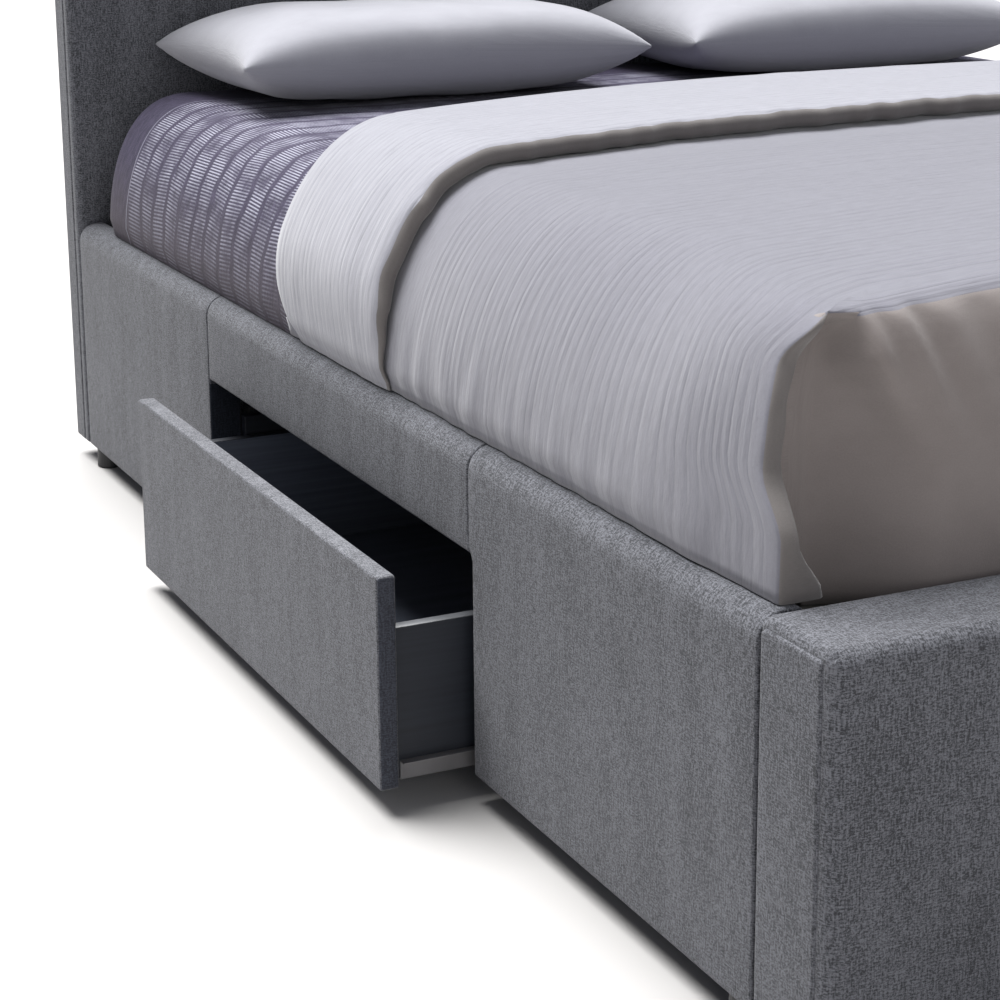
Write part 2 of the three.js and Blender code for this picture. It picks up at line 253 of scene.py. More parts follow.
def plastic(name, colour, roughness):
    """Moulded plastic with a fine spark-eroded grain."""
    material, tree, shader = new_material(name)
    place = add(tree, "ShaderNodeTexCoord").outputs["Object"]
    grain = noise_of(tree, place, scale=1400, detail=2)
    patch = noise_of(tree, place, scale=30, detail=2)
    worn = tuple(min(1, 1.3 * channel + 0.01) for channel in colour[:3]) + (1,)
    tree.links.new(mixed(tree, ramp(tree, patch, 0.4, 0.8), colour, worn), shader.inputs["Base Color"])
    shader.inputs["Roughness"].default_value = roughness
    bump(tree, shader, grain, 0.06 * MM, 0.5)
    return material


def ribbed_cotton(name, base, shade, first_tuck):
    """Duvet cover: fine uneven tucks across the bed from first_tuck on, fading out down the sides, with
    painted shade in their grooves.
    """
    material, tree, shader = new_material(name)
    uv = cloth_uv(tree)
    split = add(tree, "ShaderNodeSeparateXYZ", {0: uv})
    waver = noise_of(tree, scaled(tree, uv, (4, 30, 1)), detail=2)
    shift = times(tree, minus(tree, waver, 0.5), 16 * MM)
    along = plus(tree, split.outputs[1], shift)
    turn = math_node(tree, "FRACT", math_node(tree, "DIVIDE", along, RIB_PITCH))
    from_line = math_node(tree, "ABSOLUTE", minus(tree, turn, 0.5))
    ridge = ramp(tree, from_line, 0.0, 0.3, 1.0, 0.0)
    groove = ramp(tree, from_line, 0.3, 0.5)
    uneven = ramp(tree, noise_of(tree, scaled(tree, uv, (7, 70, 1)), detail=2), 0.3, 0.68, 0.05, 1.0)
    down_side = math_node(tree, "ABSOLUTE", split.outputs[0])
    kept = ramp(tree, down_side, 0.84, 0.95, 1.0, 0.35)
    begun = ramp(tree, along, first_tuck - 8 * MM, first_tuck, 1.0, 0.0)
    tuck = times(tree, uneven, times(tree, kept, begun))
    weave = noise_of(tree, scaled(tree, uv, (800, 800, 1)), detail=3, roughness=0.7)
    crinkle = noise_of(tree, scaled(tree, uv, (45, 190, 1)), detail=3, roughness=0.6)
    crumple = noise_of(tree, scaled(tree, uv, (16, 24, 1)), detail=4, roughness=0.6)
    relief = times(tree, minus(tree, ridge, groove), tuck)
    height = plus(tree, relief, times(tree, weave, 0.2))
    height = plus(tree, height, times(tree, crinkle, 0.9))
    height = plus(tree, height, times(tree, crumple, 2.2))
    # Grooves of the tucks are darkened: painted shade.
    dark = times(tree, groove, times(tree, tuck, 0.4))
    fine = plus(tree, ramp(tree, weave, 0.35, 0.7, 0.0, 0.2), ramp(tree, crinkle, 0.4, 0.7, 0.0, 0.3))
    tone = plus(tree, dark, fine)
    tree.links.new(mixed(tree, tone, base, shade), shader.inputs["Base Color"])
    shader.inputs["Roughness"].default_value = 0.85
    shader.inputs["Specular IOR Level"].default_value = 0.3
    shader.inputs["Sheen Weight"].default_value = 0.4
    bump(tree, shader, height, 0.4 * MM, 0.9)
    return material


def dashed_jacquard(name):
    """Coverlet: ladders of short pale dashes woven into a violet-grey ground, with a plain head border."""
    material, tree, shader = new_material(name)
    uv = cloth_uv(tree)
    split = add(tree, "ShaderNodeSeparateXYZ", {0: uv})
    drift = noise_of(tree, scaled(tree, uv, (9, 6, 1)), detail=3)
    across = plus(tree, split.outputs[1], times(tree, drift, 60 * MM))
    place = math_node(tree, "DIVIDE", across, 60 * MM)
    column = math_node(tree, "FRACT", place)
    stack = ramp(tree, math_node(tree, "ABSOLUTE", minus(tree, column, 0.5)), 0.34, 0.43, 1.0, 0.0)
    number = math_node(tree, "FLOOR", place)
    lean = times(tree, math_node(tree, "SINE", times(tree, number, 2.4)), 4 * MM)
    tilt = times(tree, minus(tree, column, 0.5), lean)
    slant = plus(tree, tilt, times(tree, number, 1.7 * MM))
    slant = plus(tree, slant, split.outputs[0])
    turn = math_node(tree, "FRACT", math_node(tree, "DIVIDE", slant, 4.4 * MM))
    dash = ramp(tree, math_node(tree, "ABSOLUTE", minus(tree, turn, 0.5)), 0.14, 0.32, 1.0, 0.0)
    patch = noise_of(tree, scaled(tree, uv, (22, 15, 1)), detail=4, roughness=0.65)
    broken = ramp(tree, patch, 0.36, 0.6, 0.12, 1.0)
    # Low on the sides the ground darkens and browns and the dashes fade: painted shade where the coverlet
    # falls to the rail.
    low_down = ramp(tree, math_node(tree, "ABSOLUTE", split.outputs[0]), 0.82, 0.91)
    broken = times(tree, broken, minus(tree, 1.0, times(tree, low_down, 0.7)))
    border = ramp(tree, split.outputs[1], COVERLET_BORDER - 1 * MM, COVERLET_BORDER + 1 * MM, 1.0, 0.0)
    line = math_node(tree, "ABSOLUTE", minus(tree, split.outputs[1], COVERLET_BORDER))
    piped = ramp(tree, line, 1.0 * MM, 2.2 * MM, 1.0, 0.0)
    mark = times(tree, times(tree, stack, dash), broken)
    mark = math_node(tree, "MAXIMUM", times(tree, mark, border), times(tree, piped, 0.5))
    weave = noise_of(tree, scaled(tree, uv, (650, 650, 1)), detail=3, roughness=0.7)
    crinkle = noise_of(tree, scaled(tree, uv, (60, 110, 1)), detail=3, roughness=0.65)
    mottle = plus(tree, ramp(tree, weave, 0.35, 0.7, 0.0, 0.5), ramp(tree, crinkle, 0.38, 0.66, 0.0, 0.5))
    ground = mixed(tree, mottle, (0.0115, 0.0085, 0.026, 1), (0.058, 0.048, 0.09, 1))
    ground = mixed(tree, times(tree, low_down, 0.6), ground, (0.046, 0.035, 0.04, 1))
    colour = mixed(tree, times(tree, mark, 0.9), ground, (0.33, 0.33, 0.4, 1))
    tree.links.new(colour, shader.inputs["Base Color"])
    shader.inputs["Roughness"].default_value = 0.8
    shader.inputs["Specular IOR Level"].default_value = 0.25
    shader.inputs["Sheen Weight"].default_value = 0.05
    height = plus(tree, mark, times(tree, weave, 0.5))
    height = plus(tree, height, times(tree, crinkle, 1.6))
    bump(tree, shader, height, 0.7 * MM, 0.8)
    return material


def plain_cotton(name, base, shade, quilt=0.0):
    """Plain woven cotton, quilted in a diamond pattern if quilt is above 0."""
    material, tree, shader = new_material(name)
    uv = cloth_uv(tree)
    weave = noise_of(tree, scaled(tree, uv, (850, 850, 1)), detail=3, roughness=0.7)
    crumple = noise_of(tree, scaled(tree, uv, (18, 26, 1)), detail=5, roughness=0.6)
    tone = plus(tree, ramp(tree, weave, 0.35, 0.7, 0, 0.4), ramp(tree, crumple, 0.4, 0.8, 0, 0.4))
    tree.links.new(mixed(tree, tone, base, shade), shader.inputs["Base Color"])
    shader.inputs["Roughness"].default_value = 0.88
    shader.inputs["Sheen Weight"].default_value = 0.25
    height = plus(tree, times(tree, weave, 0.25), crumple)
    if quilt:
        split = add(tree, "ShaderNodeSeparateXYZ", {0: scaled(tree, uv, (24, 24, 1))})
        sum_wave = math_node(tree, "SINE", plus(tree, split.outputs[0], split.outputs[1]))
        difference = minus(tree, split.outputs[0], split.outputs[1])
        pillows = times(tree, sum_wave, math_node(tree, "SINE", difference))
        height = plus(tree, height, times(tree, math_node(tree, "ABSOLUTE", pillows), quilt))
    bump(tree, shader, height, 0.9 * MM, 0.8)
    return material


MATERIALS = {
    "upholstery": linen(),
    "dark_laminate": laminate("dark_laminate", (0.0098, 0.0118, 0.0175, 1), (0.0185, 0.022, 0.0315, 1)),
    # Lighter laminate for the boards inside the drawers; its lightness is painted light that brightens the
    # shadowed cavity.
    "inner_laminate_and_painted_light": laminate("inner_laminate_and_painted_light", (0.085, 0.098, 0.13, 1), (0.14, 0.157, 0.2, 1)),
    # Lighter copy of the linen for the drawer fronts' upward faces: painted light on their tops.
    "painted_light_top_cloth": linen("painted_light_top_cloth", (0.046, 0.0475, 0.053, 1), (0.178, 0.181, 0.198, 1)),
    # Darker blue-grey copy of the linen for the drawer fronts' end faces: painted shade.
    "painted_shade_end_cloth": linen("painted_shade_end_cloth", (0.024, 0.026, 0.033, 1), (0.055, 0.059, 0.076, 1)),
    # Much darker copy of the linen inside the drawer openings and under the rail pads: painted shade.
    "painted_shade_opening_cloth": linen("painted_shade_opening_cloth", (0.01, 0.012, 0.017, 1), (0.024, 0.028, 0.04, 1)),
    "edge_band": plastic("edge_band", (0.055, 0.058, 0.064, 1), 0.45),
    # Darker copy of the edging for the head-side boards and backs: painted shade.
    "painted_shade_band": plastic("painted_shade_band", (0.012, 0.014, 0.02, 1), 0.5),
    # Near-black wood for the frame and the ledges: painted shade for the dark inside of the bed.
    "frame_wood": wood("frame_wood", (0.018, 0.016, 0.015, 1), (0.046, 0.04, 0.037, 1)),
    "slat_wood": wood("slat_wood", (0.46, 0.32, 0.18, 1), (0.7, 0.54, 0.35, 1)),
    "runner_steel": metal("runner_steel", (0.2, 0.195, 0.2, 1), 0.42, 0.35),
    "bracket_steel": metal("bracket_steel", (0.6, 0.6, 0.61, 1), 0.35, 1.0),
    "roller_plastic": plastic("roller_plastic", (0.72, 0.72, 0.69, 1), 0.35),
    "glide_plastic": plastic("glide_plastic", (0.012, 0.012, 0.013, 1), 0.5),
    "mattress_fabric": plain_cotton("mattress_fabric", (0.38, 0.37, 0.345, 1), (0.31, 0.3, 0.28, 1), 2.5),
    "duvet_fabric": ribbed_cotton("duvet_fabric", (0.134, 0.133, 0.159, 1), (0.07, 0.068, 0.083, 1), -0.265),
    "duvet_flap": ribbed_cotton("duvet_flap", (0.24, 0.24, 0.272, 1), (0.137, 0.137, 0.157, 1), 0.2),
    # Beige turned-back cloth for the corners' facings and the flap's hem, darkened further as painted shade.
    "duvet_reverse_and_painted_shade": plain_cotton("duvet_reverse_and_painted_shade", (0.134, 0.122, 0.117, 1), (0.097, 0.087, 0.083, 1)),
    # Warmer beige cloth for the duvet's foot panel: painted warm bounce light.
    "duvet_foot_painted_light": plain_cotton("duvet_foot_painted_light", (0.205, 0.18, 0.171, 1), (0.148, 0.126, 0.118, 1)),
    "coverlet_fabric": dashed_jacquard("coverlet_fabric"),
    "pillow_fabric": plain_cotton("pillow_fabric", (0.28, 0.28, 0.31, 1), (0.21, 0.21, 0.235, 1)),
}


# ---------------------------------------------------------------- mesh helpers


def new_object(name, vertices, faces, material, uvs=None):
    mesh = bpy.data.meshes.new(name)
    mesh.from_pydata([tuple(v) for v in vertices], [], faces)
    mesh.update()
    obj = bpy.data.objects.new(name, mesh)
    bpy.context.scene.collection.objects.link(obj)
    mesh.materials.append(MATERIALS[material])
    for polygon in mesh.polygons:
        polygon.use_smooth = True
    if uvs is not None:
        layer = mesh.uv_layers.new(name="cloth")
        for loop in mesh.loops:
            layer.data[loop.index].uv = uvs[loop.vertex_index]
    return obj


def metric_uv(obj):
    """Cloth coordinates in metres, taken square on to whichever way each face looks."""
    mesh = obj.data
    layer = mesh.uv_layers.get("cloth") or mesh.uv_layers.new(name="cloth")
    for polygon in mesh.polygons:
        normal = polygon.normal
        size = [abs(c) for c in normal]
        for index in polygon.loop_indices:
            x, y, z = mesh.vertices[mesh.loops[index].vertex_index].co
            if size[0] >= size[1] and size[0] >= size[2]:
                layer.data[index].uv = (y, z)
            elif size[1] >= size[2]:
                layer.data[index].uv = (x + 3, z)
            else:
                layer.data[index].uv = (y, x + 7)


def outward(obj):
    mesh = bmesh.new()
    mesh.from_mesh(obj.data)
    bmesh.ops.recalc_face_normals(mesh, faces=mesh.faces)
    mesh.to_mesh(obj.data)
    mesh.free()


def wave(x, y, z, size, seed=0.0):
    """Smooth noise from -1 to 1, with features about size metres across."""
    return noise.noise(Vector((x / size + seed, y / size - seed, z / size + 2.7 * seed)))


def smooth(value, low, high):
    t = max(0.0, min(1.0, (value - low) / (high - low)))
    return t * t * (3 - 2 * t)


def grid_lines(low, high, radii_low, radii_high, step, steps_round=5):
    """Places of grid lines from low to high, close together wherever an edge rounds."""
    lines = {low, high}
    for radii, edge, sign in ((radii_low, low, 1), (radii_high, high, -1)):
        for radius in radii:
            for k in range(steps_round + 1):
                lines.add(edge + sign * radius * (1 - math.tan(math.pi / 4 * k / steps_round)))
    inner_low = low + max(radii_low)
    inner_high = high - max(radii_high)
    count = max(1, round((inner_high - inner_low) / step))
    for k in range(count + 1):
        lines.add(inner_low + (inner_high - inner_low) * k / count)
    ordered = sorted(lines)
    kept = [ordered[0]]
    for value in ordered[1:]:
        if value - kept[-1] > 0.2 * MM:
            kept.append(value)
    kept[-1] = high
    return kept


def rounded_corner(point, axes, low, high, radii):
    """Moves a point of a square-edged block onto its rounded edges in the plane of two axes."""
    a, b = axes
    for (sign_a, sign_b), radius in radii.items():
        if not radius:
            continue
        centre_a = (high[a] - radius) if sign_a > 0 else (low[a] + radius)
        centre_b = (high[b] - radius) if sign_b > 0 else (low[b] + radius)
        u = (point[a] - centre_a) * sign_a
        v = (point[b] - centre_b) * sign_b
        if u > 0 and v > 0:
            shrink = max(u, v) / math.hypot(u, v)
            point[a] = centre_a + sign_a * u * shrink
            point[b] = centre_b + sign_b * v * shrink
            return


def corner_radii(default, **changes):
    """Radii of the four edges along one axis; changes are named ll, lh, hl, hh, first axis first."""
    names = {"ll": (-1, -1), "lh": (-1, 1), "hl": (1, -1), "hh": (1, 1)}
    radii = {pair: default for pair in names.values()}
    for name, value in changes.items():
        radii[names[name]] = value
    return radii


def block(low, high, along_x, along_y, along_z, step):
    """Points and faces of a box whose edges along each axis have their own radii."""
    used = {0: ([], []), 1: ([], []), 2: ([], [])}
    for axes, radii in (((1, 2), along_x), ((0, 2), along_y), ((0, 1), along_z)):
        for signs, radius in radii.items():
            for axis, sign in zip(axes, signs):
                used[axis][0 if sign < 0 else 1].append(radius)
    lines = [grid_lines(low[k], high[k], used[k][0] or [0], used[k][1] or [0], step) for k in range(3)]
    count = [len(line) - 1 for line in lines]
    index = {}
    points = []

    def vertex(key):
        if key not in index:
            point = [lines[k][key[k]] for k in range(3)]
            rounded_corner(point, (0, 2), low, high, along_y)
            rounded_corner(point, (1, 2), low, high, along_x)
            rounded_corner(point, (0, 1), low, high, along_z)
            index[key] = len(points)
            points.append(point)
        return index[key]

    faces = []
    for axis in range(3):
        first, second = [k for k in range(3) if k != axis]
        for end in (0, count[axis]):
            for i in range(count[first]):
                for j in range(count[second]):
                    corners = []
                    for di, dj in ((0, 0), (1, 0), (1, 1), (0, 1)):
                        key = [0, 0, 0]
                        key[axis] = end
                        key[first] = i + di
                        key[second] = j + dj
                        corners.append(vertex(tuple(key)))
                    faces.append(corners)
    return points, faces


def pad(name, low, high, body, nodes, edges, crown=0.0, face=None, ripple=0.5 * MM, step=PAD_STEP):
    """Foam pad in tight fabric. face is (axis, sign) of its shown face, which swells by crown."""
    points, faces = block(low, high, edges["x"], edges["y"], edges["z"], step)
    if face:
        axis, sign = face
        others = [k for k in range(3) if k != axis]
        near = high[axis] if sign > 0 else low[axis]
        depth = high[axis] - low[axis]
        for point in points:
            weight = 1 - min(1, abs(point[axis] - near) / depth)
            for k in others:
                place = (2 * point[k] - low[k] - high[k]) / (high[k] - low[k])
                weight *= 1 - abs(place) ** 6
            dent = ripple * wave(point[0], point[1], point[2], 0.16, 4.0)
            fine = 0.35 * ripple * wave(point[0], point[1], point[2], 0.045, 9.0)
            point[axis] += sign * weight * (crown + dent + fine)
    obj = new_object(name, points, faces, "upholstery")
    outward(obj)
    metric_uv(obj)
    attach(obj, body)
    if nodes:
        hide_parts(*nodes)
    return obj


# ---------------------------------------------------------------- upholstered pieces


def assign(obj, material, chosen):
    """Gives the chosen polygons another material."""
    obj.data.materials.append(MATERIALS[material])
    slot = len(obj.data.materials) - 1
    for polygon in obj.data.polygons:
        if chosen(polygon):
            polygon.material_index = slot


def in_opening(polygon):
    """True for polygons that line the drawer opening in a rail, or that face down; they take the darker
    linen as painted shade.
    """
    facing_in = abs(polygon.normal.y) > 0.6 and abs(abs(polygon.center.y + 0.036) - 0.431) < 8 * MM
    return (facing_in and polygon.center.z < OPENING_TOP) or polygon.normal.z < -0.6


def rail_pads():
    """Three padded sections on each side rail, with their seams between them."""
    for side, sign in SIDES:
        for part in ("foot", "bridge", "head"):
            node = f"{side}_rail_pad_{part}"
            low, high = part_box(node)
            outer = "hh" if sign > 0 else "lh"
            inner = "lh" if sign > 0 else "hh"
            edges = {
                "x": corner_radii(SEAM_RADIUS),
                "y": corner_radii(4 * MM, **{outer: TOP_RADIUS, inner: 9 * MM}),
                "z": corner_radii(SEAM_RADIUS),
            }
            obj = pad(node + "_cover", low, high, "frame", [node], edges, crown=1.2 * MM, face=(0, sign),
                      ripple=0.7 * MM)
            # Inside the opening and underneath, the pad takes the darker linen: painted shade.
            assign(obj, "painted_shade_opening_cloth", in_opening)
            round_ends(obj, sign, low, high)
            if part != "head":
                shift_seam(obj, low[1] if part == "bridge" else high[1])


def round_ends(obj, sign, low, high):
    """Rounds both ends of a rail pad over its curved top edge, so the seams show there as well."""
    centre_x = (high[0] if sign > 0 else low[0]) - sign * TOP_RADIUS
    centre_z = high[2] - TOP_RADIUS
    for vertex in obj.data.vertices:
        across = sign * (vertex.co.x - centre_x)
        above = vertex.co.z - centre_z
        reach = math.hypot(across, above)
        end = min(vertex.co.y - low[1], high[1] - vertex.co.y)
        if across <= 0 or above <= 0 or end >= SEAM_RADIUS:
            continue
        depth = SEAM_RADIUS - math.sqrt(max(0.0, SEAM_RADIUS ** 2 - (SEAM_RADIUS - end) ** 2))
        depth = min(depth, 0.5 * reach)
        vertex.co.x -= sign * depth * across / reach
        vertex.co.z -= depth * above / reach


def shift_seam(obj, seam):
    """Moves the foot seam a little to the head above the drawer opening, so it turns the corner of it."""
    for vertex in obj.data.vertices:
        near = 1 - smooth(abs(vertex.co.y - seam), 12 * MM, 60 * MM)
        above = smooth(vertex.co.z, OPENING_TOP - 6 * MM, OPENING_TOP + 10 * MM)
        vertex.co.y += SEAM_SHIFT * near * max(above, 0.0)


def drawer_fronts():
    """Padded drawer fronts with crisp edges, painted light on their tops and painted shade on their ends."""
    for side, sign in SIDES:
        node = f"{side}_front_cover"
        low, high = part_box(node)
        edges = {
            "x": corner_radii(5 * MM, hh=8 * MM),
            "y": corner_radii(3.5 * MM),
            "z": corner_radii(3.5 * MM),
        }
        nodes = [node, f"{side}_front_board"]
        obj = pad(node + "_pad", low, high, f"{side}_drawer", nodes, edges, crown=1.0 * MM,
            face=(0, sign), ripple=0.5 * MM, step=14 * MM)
        # End faces take the darker linen: painted shade.
        assign(obj, "painted_shade_end_cloth", lambda polygon: abs(polygon.normal.y) > 0.8)
        # Upward faces take the lighter linen: painted light on the tops.
        assign(obj, "painted_light_top_cloth", lambda polygon: polygon.normal.z > 0.75)
        lining(side, sign, low, high)


def lining(side, sign, low, high):
    """Dark board seen inside the drawer, on the back of its front."""
    inner = high[0] if sign < 0 else low[0]
    thickness = 1.5 * MM
    spot_low = Vector((inner - thickness if sign > 0 else inner, low[1] + 12 * MM, low[2] + 9 * MM))
    spot_high = Vector((inner if sign > 0 else inner + thickness, high[1] - 12 * MM, high[2] - 8 * MM))
    edges = {axis: corner_radii(0.5 * MM) for axis in "xyz"}
    points, faces = block(spot_low, spot_high, edges["x"], edges["y"], edges["z"], 60 * MM)
    obj = new_object(f"{side}_front_lining", points, faces, "dark_laminate")
    outward(obj)
    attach(obj, f"{side}_drawer")


def footboard():
    """Main cover wrapped over top and front, closed at each end by an inset panel with a seam."""
    low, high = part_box("footboard_cover")
    inset = 2.5 * MM
    roll = 17 * MM
    main_low = Vector((low[0] + inset, low[1], low[2]))
    main_high = Vector((high[0] - inset, high[1], high[2]))
    edges = {
        "x": corner_radii(4 * MM, lh=roll, hh=12 * MM),
        "y": corner_radii(3 * MM, lh=11 * MM, hh=11 * MM),
        "z": corner_radii(7 * MM, ll=16 * MM, hl=16 * MM),
    }
    pad("footboard_main", main_low, main_high, "frame", ["footboard_cover", "footboard_frame"], edges,
        crown=1.5 * MM, face=(1, -1), ripple=1.0 * MM, step=20 * MM)
    for side, sign in SIDES:
        outer = low[0] if sign < 0 else high[0]
        inner = outer - sign * 12 * MM
        panel_low = Vector((min(outer, inner), low[1] + 17 * MM, low[2] + 1 * MM))
        panel_high = Vector((max(outer, inner), high[1] - 3 * MM, high[2] - 10 * MM))
        panel_edges = {
            "x": corner_radii(5 * MM, hh=12 * MM),
            "y": corner_radii(3.5 * MM),
            "z": corner_radii(3.5 * MM, hh=6 * MM, lh=6 * MM),
        }
        pad(f"footboard_end_{side}", panel_low, panel_high, "frame", [], panel_edges, crown=0.8 * MM,
            face=(0, sign), step=14 * MM)


def headboard():
    """Headboard cover with two upright seams on its face and a seam round its edge."""
    low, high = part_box("headboard_cover")
    third = (high[0] - low[0]) / 3
    front = 26 * MM
    back_low = Vector((low[0], low[1] + front, low[2]))
    edges = {
        "x": corner_radii(5 * MM, lh=4 * MM, hh=14 * MM),
        "y": corner_radii(4 * MM, lh=12 * MM, hh=12 * MM),
        "z": corner_radii(4 * MM, lh=12 * MM, hh=12 * MM),
    }
    pad("headboard_back", back_low, high, "frame", ["headboard_cover", "headboard_frame"], edges,
        crown=0.5 * MM, face=(1, 1), step=28 * MM)
    for index in range(3):
        face_low = Vector((low[0] + index * third + 0.3 * MM, low[1], low[2]))
        face_high = Vector((low[0] + (index + 1) * third - 0.3 * MM, low[1] + front - 0.4 * MM, high[2]))
        first = index == 0
        last = index == 2
        face_edges = {
            "x": corner_radii(5 * MM, lh=12 * MM),
            "y": corner_radii(4 * MM, lh=12 * MM if first else 5 * MM, hh=12 * MM if last else 5 * MM),
            "z": corner_radii(5 * MM, ll=12 * MM if first else 6 * MM, hl=12 * MM if last else 6 * MM),
        }
        pad(f"headboard_face_{index + 1}", face_low, face_high, "frame", [], face_edges, crown=2.0 * MM,
            face=(1, -1), ripple=1.2 * MM, step=24 * MM)


def edge_bands():
    """Pale edging strips along the tops of the drawer boards, darkened on the head-side boards and backs as
    painted shade.
    """
    for side, _ in SIDES:
        for part, band in (("side_foot", "edge_band"), ("side_head", "painted_shade_band"), ("back", "painted_shade_band")):
            low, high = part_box(f"{side}_drawer_{part}")
            strip_low = Vector((low[0] + 0.2 * MM, low[1] + 0.2 * MM, high[2] + 0.05 * MM))
            strip_high = Vector((high[0] - 0.2 * MM, high[1] - 0.2 * MM, high[2] + 0.9 * MM))
            radii = corner_radii(0.3 * MM)
            points, faces = block(strip_low, strip_high, radii, radii, radii, 80 * MM)
            obj = new_object(f"{side}_{part}_edging", points, faces, band)
            outward(obj)
            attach(obj, f"{side}_drawer")


# ---------------------------------------------------------------- bedding


def top_height(x, y):
    """Height of the duvet's top: crowned across, falling a little to the foot, with soft waves."""
    rise = TOP_HEIGHT - (TOP_HEIGHT - EDGE_HEIGHT) * min(1, abs(x) / TOP_HALF_WIDTH) ** 2.6
    rise -= 10 * MM * smooth(-y, 0.55, 0.95)
    swell = 4.5 * MM * wave(x, 2.2 * y, 0, 0.45, 1.3) + 2.6 * MM * wave(0.6 * x, 2.4 * y, 0, 0.16, 5.1)
    return rise + swell


def fall(t, fullness=1.0):
    """Share of the way out and of the way down, at share t of the round of a falling side.

    A fullness under 1 swells the shoulder.
    """
    angle = t * math.pi / 2
    return math.sin(angle) ** fullness, 1 - math.cos(angle)


def hem_tuck(z):
    """How far a side turns in again where it comes to rest on the rail."""
    return 7 * MM * (1 - smooth(z, 0.398, 0.425))


def side_puckers(along, z):
    """Small creases where the cover is pulled down behind the rail, and long soft swells."""
    low_down = 1 - smooth(z, 0.42, 0.53)
    creases = 2.4 * MM * wave(along, 0.25 * z, 0, 0.028, 2.2) * low_down
    return creases + 4 * MM * wave(along, 0.5 * z, 0, 0.21, 6.4)


def edge_back(z):
    """How far the side panel's open edge stands back from the foot between its cuff and the apex."""
    return 35 * MM * smooth(z, 0.45, 0.505) * (1 - smooth(z, 0.586, 0.638))


def corner_offsets(z):
    """Offsets from the open corner edge, on the +X side, going round from side panel to foot panel.

    The side panel ends in a facing as wide as the duvet is thick, and wider at its turned-back cuff.
    """
    back = edge_back(z)
    cuff = 1 - smooth(z, 0.4, 0.45)
    crinkle = 2.5 * MM * wave(0, 0, z, 0.035, 6.1)
    width = (19 + 26 * cuff) * MM + crinkle
    plan = [(0, 15), (0, 8), (1, 3), (3, 1), (6, 0)]
    points = [(-a * MM, b * MM + back) for a, b in plan]
    points += [(-0.6 * width, back), (-0.9 * width, 0.5 * MM + back), (-width, 4 * MM + back)]
    points += [(-width - 0.5 * MM, 0.35 * back + 0.45 * HOLLOW_DEPTH)]
    points += [(-width + 1 * MM, HOLLOW_DEPTH - 4 * MM)]
    points += [(-width - (8 - 5 * cuff) * MM, HOLLOW_DEPTH), (-width - (20 - 13 * cuff) * MM, HOLLOW_DEPTH)]
    return points


def foot_recess(x, z, out):
    """How far the foot panel hangs back from its edge, in a hollow that widens below each corner."""
    inner = max(0.0, 0.75 - abs(x))
    drop = EDGE_HEIGHT - z
    opened = smooth(drop, 0.004 + 0.7 * inner, 0.03 + 1.3 * inner)
    opened = max(opened, smooth(out, 0.5, 0.8) * (1 - smooth(inner, 0.025, 0.06)))
    return HOLLOW_DEPTH * (1 - smooth(inner, 0.0, 0.115)) * opened + 3 * MM * smooth(drop, 0.02, 0.1)


def foot_folds(x, z):
    """Soft folds that fan out from each corner over the foot panel."""
    drop = EDGE_HEIGHT - z
    inner = 0.72 - abs(x)
    folds = 0.0
    for place, lean, width, depth in CORNER_FOLDS:
        centre = place + lean * drop
        strength = math.exp(-(((inner - centre) / width) ** 2))
        folds += depth * MM * strength * smooth(drop, 0.006, 0.025) * (1 - smooth(drop, 0.06, 0.16))
    return folds + 3 * MM * wave(x, 0, 0.4 * z, 0.12, 3.7) * smooth(drop, 0.02, 0.14)


def duvet_column(edge, hem, kind, levels, place):
    """Points from the top's edge down to the hem, for one column of the duvet's skirt.

    place is the share of the way to the foot on a side, the number of a corner column, or 0.
    """
    edge_x, edge_y, edge_z = edge
    hem_x, hem_y = hem
    sign = -1 if hem_x < 0 else 1
    near_foot = smooth(place, 0.74, 1.0) if kind == "side" else 1.0
    fullness = 1 + (CORNER_FULLNESS - 1) * near_foot
    hem_z = WIDEST_HEIGHT
    if kind == "foot":
        fullness += 0.18 * smooth(TOP_HALF_WIDTH - abs(edge_x), 0.0, 0.14)
        hem_z -= 28 * MM
    points = []
    for level in range(1, levels + 1):
        out, down = fall(level / levels, fullness)
        z = edge_z - (edge_z - hem_z) * down
        x = edge_x + (hem_x - edge_x) * out
        y = edge_y + (hem_y - edge_y) * out
        if kind == "side":
            tucked = hem_tuck(z) * (1 - smooth(place, 0.8, 1.0))
            x += sign * (side_puckers(y, z) * (1 - 0.5 * near_foot) - tucked)
            y += edge_back(z) * smooth(place, 0.84, 1.0) * smooth(out, 0.4, 0.75)
        elif kind == "corner":
            offset_x, offset_y = corner_offsets(z)[place]
            opened = smooth(out, 0.5, 0.8)
            x += sign * offset_x * opened + sign * side_puckers(y, z) * 0.5
            y += offset_y * opened + 1.5 * MM * wave(0, y, z, 0.03, 5.5) * (place > 4)
        else:
            y += foot_recess(x, z, out) - foot_folds(x, z)
        points.append((x, y, z))
    return points


def skirt_part(*columns):
    """Which cloth is between two columns of the skirt: the cover, its narrow facing (darker, painted shade)
    or the foot panel (warmer beige, painted bounce light).
    """
    if any(kind == "foot" or (kind == "corner" and place > 7) for kind, place in columns):
        return "foot"
    if any(kind == "corner" and place > 2 for kind, place in columns):
        return "facing"
    return "cover"


